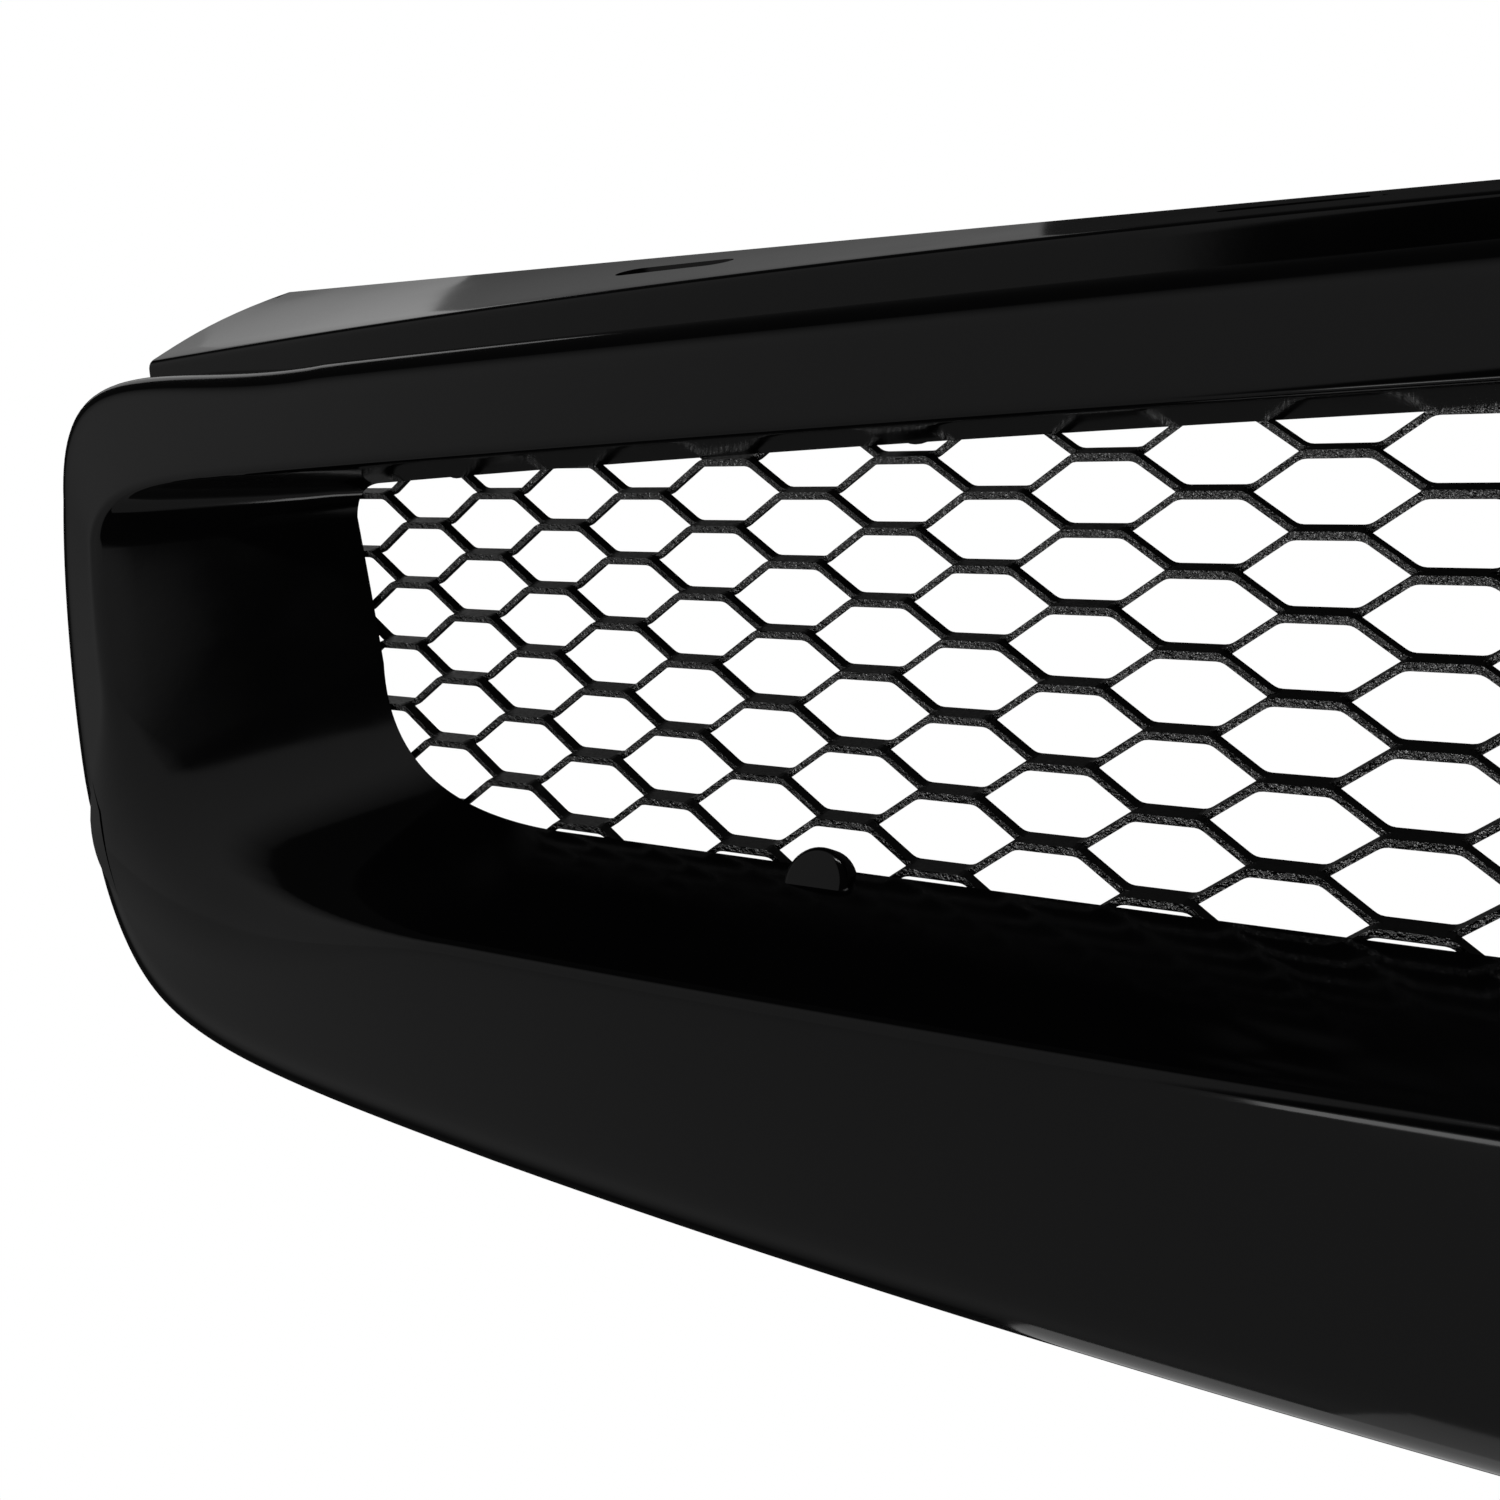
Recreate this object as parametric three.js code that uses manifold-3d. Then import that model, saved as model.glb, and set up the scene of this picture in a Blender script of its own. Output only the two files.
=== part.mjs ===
// Front grille: a one-piece gloss black ABS surround with a hung top flange, a raked and
// bowed expanded aluminium mesh sheet behind its opening, and the screws and washers that
// clamp the sheet to the surround's moulded bosses, with two half-round lugs on the sill.
// Frame: X to the viewer's right when facing the grille, Y rearwards, Z up, millimetres.
// The outlines below are drawn about the middle of the mesh; the finished group is moved
// so that its origin is the middle of the top flange's flat upper face.
import * as THREE from "three";
import { LoftGeometry } from "three/addons/geometries/LoftGeometry.js";
import { mergeGeometries, mergeVertices } from "three/addons/utils/BufferGeometryUtils.js";
import Module from "manifold-3d";

// Mesh sheet
const rake = THREE.MathUtils.degToRad(25); // the top of the sheet leans back
const bowRadius = 4000; // plan bow of the whole grille
const longPitch = 25; // expanded mesh, hole pitch along X
const shortPitch = 8.5; // hole pitch up the sheet
const holeHalfLength = 8.6; // the holes are six-sided
const holeHalfHeight = 3.3;
const holeHalfFlat = 3.1; // half of a hole's flat top and bottom
const sheetDepth = 3; // over the twisted strands
const sheetOverlap = 11.5; // sheet beyond the opening, all round
const sheetRim = 11; // plain margin kept between a hole and the edge of the sheet

// Surround
const wall = 3;
const revealDepth = 21.5; // mesh middle to the front edge of the opening
const crownSetback = 2; // the outer crown lies behind the plane of the front edge
const lipLevel = -30; // below this height the face no longer follows the rake
const lipBlend = 8;
const seatWidth = 12; // flat rear rim that the sheet lies on
const seatThickness = 2.6;
const creaseSetback = 8.5; // riser behind the crown
const riserThickness = 2.6;
const shelfDepth = creaseSetback + riserThickness; // top of the bar, back to the riser
const returnDepth = 27; // side and bottom walls
const returnDraft = 1.2;
const edgeRound = 1.6; // front edge of the opening
const crownRound = 4.8;
const lipRound = 9;
const shelfFrom = 26; // crown heights between which the side wall becomes the shelf
const shelfTo = 33;
const lipFrom = 20; // depths below the middle between which the crown rounds into the lip
const lipTo = 52;

// Top flange
const flangeTop = 45; // above the middle of the mesh
const flangeThickness = 2.6;
const flangeBack = 40;
const endDrop = 10; // how far the front crease has dropped at the flange's ends
const endDropPower = 1.9;
const flatHalfWidth = 110; // the flange is level inside this
const flangeHalfWidth = 311;
const flangeEndSplay = 8.5;
const flangeFacets = 28;
const grooveSink = 1.5;
const slotLength = 18;
const slotWidth = 5;
const slotPlaces = [52, 146, 229];
const slotSetback = 17; // slot middle behind the crease

// Lugs, bosses and fasteners
const gap = 0.3;
const lugRadius = 4.2;
const lugReach = 0.9; // lug middle outside the edge of the opening
const lugDome = 0.6;
const bossRadius = 3.1;
const bossLength = 4;
const upperBossReach = 4.2; // boss middle outside the edge of the opening
const lowerBossReach = 7.2; // further out, below the sloping foot of the reveal
const shankRadius = 1.45;
const pilotDepth = 3.4;
const screwLength = 8;
const screwPoint = 2;
const headRadius = 2.8;
const headHeight = 2.2;
const headWaist = 0.45; // height of the head's cylindrical part, of the whole
const headTop = 0.6; // radius of its flat top, of the whole
const washerRadius = 4;
const washerThickness = 1;
const washerBore = shankRadius + gap;
const turnSegments = 12;
const bossSegments = 8;

// Rear tabs and ears, which locate the grille in the bumper opening
const tabWidth = 26;
const tabLength = 13;
const tabThickness = 2.4;
const tabRoot = 5; // length of a tab that lies inside the wall
const tabCorner = 3;
const tabHole = 2.75;
const tabPlaces = [75, 205];
const earPosition = 0.42; // along the side of the crown outline

const weldDistance = 1e-4; // vertices closer than this are one
const throughDepth = 60; // a cutter this deep passes through the bowed sheet
const stations = { topEdge: 10, upperCorner: 8, side: 5, lowerCorner: 9, bottomEdge: 10 };

// ---- outlines ----------------------------------------------------------------------
// Each ring is drawn for the half with X < 0, from the middle of the top edge round to
// the middle of the bottom edge. All three have the same five stretches, so that equal
// positions on them make one cross-section of the surround.

const openingRing = {
  topEdge: [[0, 24.9], [-136, 24.4], [-272, 17]],
  upperCorner: [[-272, 17], [-276.8, 16.8], [-275.4, 12.5]],
  side: [[-275.4, 12.5], [-269, 2], [-264.2, -6.3]],
  lowerCorner: [[-264.2, -6.3], [-257.4, -23.6], [-227.2, -23.8]],
  bottomEdge: [[-227.2, -23.8], [-115, -23.8], [0, -23.8]],
};
const frontRing = {
  topEdge: [[0, 29.5], [-136, 26.9], [-272, 20.5]],
  upperCorner: [[-272, 20.5], [-296, 19.4], [-313, 19.6], [-311, 11]],
  side: [[-311, 11], [-306, 0], [-292, -20.5]],
  lowerCorner: [[-292, -20.5], [-285, -31.3], [-268, -32.2], [-227.2, -31.2]],
  bottomEdge: [[-227.2, -31.2], [-111.6, -30.6], [0, -27.5]],
};
const crownRing = {
  topEdge: [[0, 42], [-134, 39.3], [-272, 34.6]],
  upperCorner: [[-272, 34.6], [-309, 31.5], [-336.2, 41.1], [-325.6, 17.3]],
  side: [[-325.6, 17.3], [-318.9, -1], [-302.4, -26.6]],
  lowerCorner: [[-302.4, -26.6], [-293.4, -53.9], [-297.8, -57], [-227.2, -61.8]],
  bottomEdge: [[-227.2, -61.8], [-130, -67.8], [0, -64]],
};

function curveThrough(controls) {
  const points = controls.map(([x, z]) => new THREE.Vector2(x, z));
  return points.length === 4
    ? new THREE.CubicBezierCurve(...points)
    : new THREE.QuadraticBezierCurve(...points);
}

// One half ring as a list of points, one for each cross-section.
function halfRing(ring) {
  const points = [];
  for (const [stretch, count] of Object.entries(stations)) {
    const curve = curveThrough(ring[stretch]);
    for (let i = 0; i < count; i += 1) points.push(curve.getPoint(i / count));
  }
  points.push(curveThrough(ring.bottomEdge).getPoint(1));
  return points;
}

// The whole ring, anticlockwise or clockwise as seen from the front, closed once.
function wholeRing(ring) {
  const left = halfRing(ring);
  const right = left.slice(1, -1).reverse().map((p) => new THREE.Vector2(-p.x, p.y));
  return [...left, ...right];
}

// ---- depths ------------------------------------------------------------------------

const bow = (x) => (x * x) / (2 * bowRadius);

// Middle surface of the mesh sheet.
const sheetY = (x, z) => z * Math.tan(rake) + bow(x);

// Height that stops following the rake below the lip, with a soft change.
function lippedHeight(z) {
  const above = z - lipLevel;
  return lipLevel + (above + Math.hypot(above, lipBlend)) / 2;
}

const frontY = (x, z) => sheetY(x, z) - revealDepth;
const crownY = (x, z) => bow(x) + lippedHeight(z) * Math.tan(rake) - revealDepth + crownSetback;
const seatY = (x, z) => sheetY(x, z) - sheetDepth / 2 - gap;

// ---- solids ------------------------------------------------------------------------

const wasm = await Module();
wasm.setup();

function solid(geometry) {
  const bare = geometry.index ? geometry.toNonIndexed() : geometry.clone();
  bare.deleteAttribute("normal");
  bare.deleteAttribute("uv");
  const merged = mergeVertices(bare, weldDistance);
  return new wasm.Manifold(new wasm.Mesh({
    numProp: 3,
    vertProperties: merged.attributes.position.array,
    triVerts: new Uint32Array(merged.index.array),
  }));
}

function geometryOf(manifold) {
  const { vertProperties, triVerts } = manifold.getMesh();
  const geometry = new THREE.BufferGeometry();
  geometry.setAttribute("position", new THREE.BufferAttribute(vertProperties, 3));
  geometry.setIndex(new THREE.BufferAttribute(triVerts, 1));
  const faceted = geometry.toNonIndexed();
  faceted.computeVertexNormals();
  return faceted;
}

// ---- surround ----------------------------------------------------------------------

// The point that lies a wall's thickness behind two meeting lines of a section.
function offsetCorner(before, corner, after, distance) {
  const normalOf = (p, q) => {
    const along = q.clone().sub(p).normalize();
    return new THREE.Vector2(-along.y, along.x);
  };
  const first = normalOf(before, corner);
  const second = normalOf(corner, after);
  const middle = first.clone().add(second);
  return corner.clone().addScaledVector(middle, distance / (1 + first.dot(second)));
}

// A corner of a section, rounded by a curve that starts and ends at the given reach.
function roundedCorner(before, corner, after, reach, steps) {
  const start = corner.clone().add(before.clone().sub(corner).setLength(reach));
  const end = corner.clone().add(after.clone().sub(corner).setLength(reach));
  return new THREE.QuadraticBezierCurve(start, corner, end).getPoints(steps);
}

// One closed cross-section. Its flat coordinates are the distance outwards from the
// opening's edge and the depth; placing it follows the three rings' points in plan.
function surroundSection(opening, front, crown) {
  const toFront = opening.distanceTo(front);
  const toCrown = toFront + front.distanceTo(crown);
  const isTop = THREE.MathUtils.smoothstep(crown.y, shelfFrom, shelfTo);
  const isLip = THREE.MathUtils.smoothstep(-crown.y, lipFrom, lipTo);

  const outwards = (distance) => {
    if (distance <= toFront) return opening.clone().lerp(front, distance / toFront);
    return front.clone().lerp(crown, (distance - toFront) / (toCrown - toFront));
  };
  const place = (p) => {
    const flat = outwards(p.x);
    return new THREE.Vector3(flat.x, p.y, flat.y);
  };

  const rimY = seatY(opening.x, opening.y);
  const a = new THREE.Vector2(0, rimY);
  const b = new THREE.Vector2(toFront, frontY(front.x, front.y));
  const c = new THREE.Vector2(toCrown, crownY(crown.x, crown.y));
  const back = THREE.MathUtils.lerp(returnDepth, shelfDepth, isTop);
  const sink = THREE.MathUtils.lerp(returnDraft, grooveSink, isTop);
  const d = new THREE.Vector2(toCrown - sink, c.y + back);
  const crownReach = THREE.MathUtils.lerp(crownRound, lipRound, isLip);

  const frontSide = [
    ...roundedCorner(a, b, c, edgeRound, 2),
    ...roundedCorner(b, c, d, crownReach, 4),
  ];
  const insideD = new THREE.Vector2(d.x - wall, d.y);
  const insideC = offsetCorner(b, c, d, wall);
  const insideB = offsetCorner(a, b, c, wall);

  // the rim that the sheet lies on, following the sheet's own surface outwards
  const onSeat = (distance) => {
    const flat = outwards(distance);
    return new THREE.Vector2(distance, seatY(flat.x, flat.y));
  };
  const rimOuter = onSeat(seatWidth);
  const rimFront = new THREE.Vector2(rimOuter.x, rimOuter.y - seatThickness);
  const slope = b.clone().sub(a);
  const wallFoot = (slope.x / -slope.y) * seatThickness + (wall * slope.length()) / -slope.y;
  const foot = new THREE.Vector2(
    Math.min(wallFoot, seatWidth - 1),
    onSeat(Math.min(wallFoot, seatWidth - 1)).y - seatThickness,
  );
  return [a, ...frontSide, d, insideD, insideC, insideB, foot, rimFront, rimOuter].map(place);
}

function surroundShell() {
  const opening = wholeRing(openingRing);
  const front = wholeRing(frontRing);
  const crown = wholeRing(crownRing);
  const sections = opening.map((point, i) => surroundSection(point, front[i], crown[i]));
  sections.push(sections[0].map((p) => p.clone()));
  return solid(new LoftGeometry(sections));
}

// Height of the crown at a given X, read off its top edge.
const crownTop = curveThrough(crownRing.topEdge);
function crownHeight(x) {
  const reach = Math.min(Math.abs(x), -crownRing.topEdge[2][0]);
  let low = 0;
  let high = 1;
  for (let i = 0; i < 30; i += 1) {
    const middle = (low + high) / 2;
    if (-crownTop.getPoint(middle).x < reach) low = middle;
    else high = middle;
  }
  return crownTop.getPoint(low).y;
}

function creaseHeight(x) {
  const span = flangeHalfWidth + flangeEndSplay - flatHalfWidth;
  const outside = Math.max(Math.abs(x) - flatHalfWidth, 0) / span;
  return flangeTop - endDrop * outside ** endDropPower;
}

const creaseY = (x) => crownY(x, crownHeight(x)) + creaseSetback;

// Riser and flange in one angle section, from the groove behind the bar up to the crease
// and back along the flange.
function flangeSection(x) {
  const splay = (Math.abs(x) / flangeHalfWidth) * flangeEndSplay * Math.sign(x);
  const front = creaseY(x);
  const crease = creaseHeight(x);
  const foot = crownHeight(x) - grooveSink - wall + gap;
  return [
    [x + splay, front, foot],
    [x + splay, front, crease],
    [x, flangeBack, flangeTop],
    [x, flangeBack, flangeTop - flangeThickness],
    [x + splay, front + riserThickness, crease - flangeThickness],
    [x + splay, front + riserThickness, foot],
  ].reverse().map((p) => new THREE.Vector3(...p));
}

function flange() {
  const sections = [];
  for (let i = 0; i <= flangeFacets; i += 1) {
    sections.push(flangeSection(flangeHalfWidth * ((2 * i) / flangeFacets - 1)));
  }
  return solid(new LoftGeometry(sections, { capStart: true, capEnd: true }));
}

function slotCutter(x) {
  const half = (slotLength - slotWidth) / 2;
  const shape = new THREE.Shape();
  shape.absarc(half, 0, slotWidth / 2, -Math.PI / 2, Math.PI / 2, false);
  shape.absarc(-half, 0, slotWidth / 2, Math.PI / 2, (3 * Math.PI) / 2, false);
  const geometry = new THREE.ExtrudeGeometry(shape, {
    depth: 6 * flangeThickness,
    bevelEnabled: false,
    curveSegments: 4,
  });
  geometry.translate(x, creaseY(x) + slotSetback, flangeTop - 5 * flangeThickness);
  return solid(geometry);
}

// ---- boss, screw and washer places ---------------------------------------------------

// A frame on the sheet: x, z is its middle, and its own Z axis points rearwards,
// square to the sheet.
function sheetFrame(x, z) {
  const rearwards = new THREE.Vector3(-x / bowRadius, 1, -Math.tan(rake)).normalize();
  const sideways = new THREE.Vector3(1, x / bowRadius, 0).normalize();
  const upwards = new THREE.Vector3().crossVectors(rearwards, sideways);
  const frame = new THREE.Matrix4().makeBasis(sideways, upwards, rearwards);
  return frame.setPosition(x, sheetY(x, z), z);
}

// A place outside the edge of the opening by the given reach.
function ringPlace(stretch, position, reach) {
  const curve = curveThrough(openingRing[stretch]);
  const p = curve.getPoint(position);
  const along = curve.getTangent(position);
  return [p.x + along.y * reach, p.y - along.x * reach];
}

const lugPosition = 0.175; // along the bottom edge, from the corner
const halfPlaces = [
  ringPlace("topEdge", 0.35, upperBossReach),
  ringPlace("topEdge", 0.69, upperBossReach),
  ringPlace("topEdge", 0.96, upperBossReach),
  ringPlace("bottomEdge", lugPosition, lowerBossReach),
  ringPlace("bottomEdge", 0.59, lowerBossReach),
];
const bossPlaces = [
  ...halfPlaces.map(([x, z]) => [-x, z]),
  ...halfPlaces,
];

function turned(profile, segments) {
  const points = profile.map(([r, y]) => new THREE.Vector2(r, y));
  const geometry = new THREE.LatheGeometry(points, segments);
  geometry.rotateX(Math.PI / 2);
  return geometry;
}

// A round post that stands forward from the seat, hidden behind the reveal.
function boss([x, z]) {
  const rear = -sheetDepth / 2 - gap;
  const front = rear - bossLength;
  const geometry = turned([
    [0, rear],
    [bossRadius, rear],
    [bossRadius, front],
    [0, front],
  ].reverse(), bossSegments);
  return solid(geometry.applyMatrix4(sheetFrame(x, z)));
}

// A disc as thick as the rim, half of it standing in the opening, with a domed face.
function lug(side) {
  const [x, z] = ringPlace("bottomEdge", lugPosition, lugReach);
  const rear = -sheetDepth / 2 - gap;
  const front = rear - seatThickness;
  const geometry = turned([
    [0, rear],
    [lugRadius, rear],
    [lugRadius, front + lugDome],
    [lugRadius - lugDome, front],
    [0, front],
  ].reverse(), 2 * turnSegments);
  return solid(geometry.applyMatrix4(sheetFrame(side * x, z)));
}

function pilotHole([x, z]) {
  const depth = pilotDepth + 1;
  const geometry = new THREE.CylinderGeometry(washerBore, washerBore, depth, bossSegments);
  geometry.rotateX(Math.PI / 2);
  geometry.translate(0, 0, -sheetDepth / 2 - gap - pilotDepth + depth / 2);
  return solid(geometry.applyMatrix4(sheetFrame(x, z)));
}

// A flat tongue with a round hole, drawn with its root on the X axis.
function tongue() {
  const half = tabWidth / 2;
  const shape = new THREE.Shape();
  shape.moveTo(-half, -tabRoot);
  shape.lineTo(half, -tabRoot);
  shape.lineTo(half, tabLength - tabCorner);
  shape.quadraticCurveTo(half, tabLength, half - tabCorner, tabLength);
  shape.lineTo(-half + tabCorner, tabLength);
  shape.quadraticCurveTo(-half, tabLength, -half, tabLength - tabCorner);
  const hole = new THREE.Path();
  hole.absarc(0, tabLength / 2, tabHole, 0, 2 * Math.PI, true);
  shape.holes.push(hole);
  return new THREE.ExtrudeGeometry(shape, {
    depth: tabThickness,
    bevelEnabled: false,
    curveSegments: 2,
  });
}

// Lower tab: level, out of the rear edge of the bottom wall.
function lowerTab(x) {
  const curve = curveThrough(crownRing.bottomEdge);
  const z = curve.getPoint(1 + Math.abs(x) / crownRing.bottomEdge[0][0]).y;
  const geometry = tongue();
  const inset = (wall - tabThickness) / 2;
  geometry.translate(x, crownY(x, z) + returnDepth, z + returnDraft + inset);
  return solid(geometry);
}

// Side ear: in the plane of the side wall, out of its rear edge.
function sideEar(side) {
  const curve = curveThrough(crownRing.side);
  const p = curve.getPoint(earPosition);
  const along = curve.getTangent(earPosition);
  const outwards = new THREE.Vector3(along.y * side * -1, 0, along.x * -1);
  const rearwards = new THREE.Vector3(0, 1, 0);
  const sideways = new THREE.Vector3().crossVectors(rearwards, outwards);
  const frame = new THREE.Matrix4().makeBasis(sideways, rearwards, outwards);
  const inset = returnDraft + wall - (wall - tabThickness) / 2;
  const origin = new THREE.Vector3(side * -p.x, crownY(p.x, p.y) + returnDepth, p.y);
  frame.setPosition(origin.addScaledVector(outwards, -inset));
  return solid(tongue().applyMatrix4(frame));
}

function surround() {
  let body = surroundShell().add(flange());
  for (const place of bossPlaces) body = body.add(boss(place));
  body = body.add(lug(-1)).add(lug(1));
  for (const x of tabPlaces) body = body.add(lowerTab(x)).add(lowerTab(-x));
  body = body.add(sideEar(-1)).add(sideEar(1));
  for (const x of slotPlaces) body = body.subtract(slotCutter(x)).subtract(slotCutter(-x));
  for (const place of bossPlaces) body = body.subtract(pilotHole(place));
  return geometryOf(body);
}

// ---- mesh sheet ------------------------------------------------------------------------

// The opening's outline laid flat on the sheet and pushed outwards by the overlap.
function sheetOutline() {
  const flat = wholeRing(openingRing).map((p) => new THREE.Vector2(p.x, p.y / Math.cos(rake)));
  return flat.map((p, i) => {
    const before = flat[(i + flat.length - 1) % flat.length];
    const after = flat[(i + 1) % flat.length];
    const along = after.clone().sub(before).normalize();
    return new THREE.Vector2(p.x + along.y * sheetOverlap, p.y - along.x * sheetOverlap);
  });
}

// Distance from a point to an outline, negative outside it.
function depthInside(point, outline) {
  let nearest = Infinity;
  let inside = false;
  outline.forEach((p, i) => {
    const q = outline[(i + 1) % outline.length];
    const along = q.clone().sub(p);
    const t = THREE.MathUtils.clamp(point.clone().sub(p).dot(along) / along.lengthSq(), 0, 1);
    nearest = Math.min(nearest, point.distanceTo(p.clone().addScaledVector(along, t)));
    const crosses = p.y > point.y !== q.y > point.y;
    if (crosses && point.x < p.x + ((point.y - p.y) / along.y) * along.x) inside = !inside;
  });
  return inside ? nearest : -nearest;
}

function holeCorners(x, t) {
  return [
    [-holeHalfLength, 0],
    [-holeHalfFlat, -holeHalfHeight],
    [holeHalfFlat, -holeHalfHeight],
    [holeHalfLength, 0],
    [holeHalfFlat, holeHalfHeight],
    [-holeHalfFlat, holeHalfHeight],
  ].map(([dx, dt]) => new THREE.Vector2(x + dx, t + dt));
}

// Whole holes that stay clear of the sheet's edge and of the clamped spots.
function sheetHoles(outline) {
  const holes = [];
  const columns = Math.ceil((2 * flangeHalfWidth) / longPitch);
  const rows = Math.ceil(flangeTop / shortPitch) * 2;
  for (let i = -columns; i <= columns; i += 1) {
    for (let j = -rows; j <= rows; j += 1) {
      const corners = holeCorners(((i + 1) * longPitch) / 2, (j * shortPitch) / 2);
      const clear = corners.every((corner) => depthInside(corner, outline) > sheetRim);
      if ((i + j) % 2 === 0 && clear) holes.push(corners);
    }
  }
  return holes;
}

// A straight prism through the sheet, drawn on the sheet's own flat coordinates.
function sheetPrism(points, depth) {
  const shape = new THREE.Shape(points);
  const geometry = new THREE.ExtrudeGeometry(shape, { depth, bevelEnabled: false });
  geometry.translate(0, 0, -depth / 2);
  return geometry.rotateX(Math.PI / 2 - rake);
}

// A plain raked plate that follows the plan bow in flat facets.
function bowedPlate() {
  const sections = [];
  const facet = 3 * longPitch;
  for (let x = -4 * facet; x <= 4 * facet; x += facet) {
    const corners = [[-1, -1], [-1, 1], [1, 1], [1, -1]];
    sections.push(corners.map(([up, back]) => {
      const t = up * flangeTop;
      const n = (back * sheetDepth) / 2;
      const y = t * Math.sin(rake) + n * Math.cos(rake) + bow(x);
      return new THREE.Vector3(x, y, t * Math.cos(rake) - n * Math.sin(rake));
    }));
  }
  return solid(new LoftGeometry(sections, { capStart: true, capEnd: true }));
}

function meshSheet() {
  const outline = sheetOutline();
  const prisms = sheetHoles(outline).map((corners) => sheetPrism(corners, throughDepth));
  const screwHoles = bossPlaces.map(([x, z]) => {
    const hole = new THREE.CylinderGeometry(washerBore, washerBore, 3 * sheetDepth, bossSegments);
    return hole.rotateX(Math.PI / 2).applyMatrix4(sheetFrame(x, z));
  });
  const blank = bowedPlate().intersect(solid(sheetPrism(outline, throughDepth)));
  const drilled = screwHoles.reduce((sheet, hole) => sheet.subtract(solid(hole)), blank);
  return geometryOf(drilled.subtract(solid(mergeGeometries(prisms))));
}

// ---- fasteners -------------------------------------------------------------------------

const washerFront = sheetDepth / 2 + gap;
const headFront = washerFront + washerThickness + gap;

function washer([x, z]) {
  const geometry = turned([
    [washerBore, washerFront],
    [washerRadius, washerFront],
    [washerRadius, washerFront + washerThickness],
    [washerBore, washerFront + washerThickness],
    [washerBore, washerFront],
  ], turnSegments);
  return geometryOf(solid(geometry.applyMatrix4(sheetFrame(x, z))));
}

function screw([x, z]) {
  const tip = headFront - screwLength;
  const geometry = turned([
    [0, tip],
    [shankRadius, tip + screwPoint],
    [shankRadius, headFront],
    [headRadius, headFront],
    [headRadius, headFront + headHeight * headWaist],
    [headRadius * headTop, headFront + headHeight],
    [0, headFront + headHeight],
  ], turnSegments);
  return geometryOf(solid(geometry.applyMatrix4(sheetFrame(x, z))));
}

// ---- group ---------------------------------------------------------------------------

const grille = new THREE.Group();
const glossAbs = new THREE.MeshStandardMaterial({ color: 0x0b0b0c, roughness: 0.16, metalness: 0 });
const coatedMesh = new THREE.MeshStandardMaterial({ color: 0x121212, roughness: 0.45, metalness: 0 });
const blackZinc = new THREE.MeshStandardMaterial({ color: 0x1b1b1d, roughness: 0.4, metalness: 0.8 });

function addPiece(name, geometry, material) {
  const mesh = new THREE.Mesh(geometry, material.clone());
  mesh.name = name;
  grille.add(mesh);
}

addPiece("surround", surround(), glossAbs);
addPiece("mesh_sheet", meshSheet(), coatedMesh);
bossPlaces.forEach((place, i) => {
  const number = String(i + 1).padStart(2, "0");
  addPiece(`mesh_washer_${number}`, washer(place), blackZinc);
  addPiece(`mesh_screw_${number}`, screw(place), blackZinc);
});
grille.position.set(0, -(creaseY(0) + flangeBack) / 2, -flangeTop);

export default grille;
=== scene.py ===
# Front grille: gloss black ABS surround, raked expanded aluminium mesh, screws and washers.
import bpy
import bmesh
import math
from mathutils import Matrix, Vector


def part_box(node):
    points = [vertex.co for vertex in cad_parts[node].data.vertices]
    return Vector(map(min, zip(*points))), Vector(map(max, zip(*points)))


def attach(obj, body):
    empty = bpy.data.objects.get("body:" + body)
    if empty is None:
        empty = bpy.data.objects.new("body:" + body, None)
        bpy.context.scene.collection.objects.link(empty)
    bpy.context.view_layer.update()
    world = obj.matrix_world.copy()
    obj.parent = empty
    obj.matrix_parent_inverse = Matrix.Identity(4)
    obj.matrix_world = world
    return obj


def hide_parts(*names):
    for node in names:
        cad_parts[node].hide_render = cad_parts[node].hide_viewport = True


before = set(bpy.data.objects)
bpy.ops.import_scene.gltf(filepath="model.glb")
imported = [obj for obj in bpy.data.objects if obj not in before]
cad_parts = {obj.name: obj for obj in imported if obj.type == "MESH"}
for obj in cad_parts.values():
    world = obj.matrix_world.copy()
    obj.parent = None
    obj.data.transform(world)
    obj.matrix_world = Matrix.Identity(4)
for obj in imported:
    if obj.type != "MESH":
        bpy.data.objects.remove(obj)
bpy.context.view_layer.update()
mm = 0.001

# The outlines are drawn in millimetres about the middle of the mesh; datum is that middle.
surroundLow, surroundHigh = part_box("surround")
flangeBack = 40
flangeTop = 45
datum = Vector((0, surroundHigh.y - flangeBack * mm, surroundHigh.z - flangeTop * mm))


def place(x, y, z):
    return Vector((x, y, z)) * mm + datum


# camera, lights and floor

cameraLook = {
    "eye": (-86.07, -176.87, 36.38),
    "forward": (-0.5366, 0.8124, -0.2282),
    "right": (0.8412, 0.5364, -0.0684),
    "lens": 44.4,
    "sensor": 36,
    "nearest": 0.01,
}


def addCamera(look):
    forward = Vector(look["forward"]).normalized()
    right = Vector(look["right"])
    right = (right - forward * right.dot(forward)).normalized()
    up = right.cross(forward)
    bpy.ops.object.camera_add()
    camera = bpy.context.object
    camera.data.lens = look["lens"]
    camera.data.sensor_width = look["sensor"]
    camera.data.clip_start = look["nearest"]
    turn = Matrix((right, up, -forward)).transposed().to_4x4()
    camera.matrix_world = Matrix.Translation(place(*look["eye"])) @ turn
    bpy.context.scene.camera = camera


addCamera(cameraLook)

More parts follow.
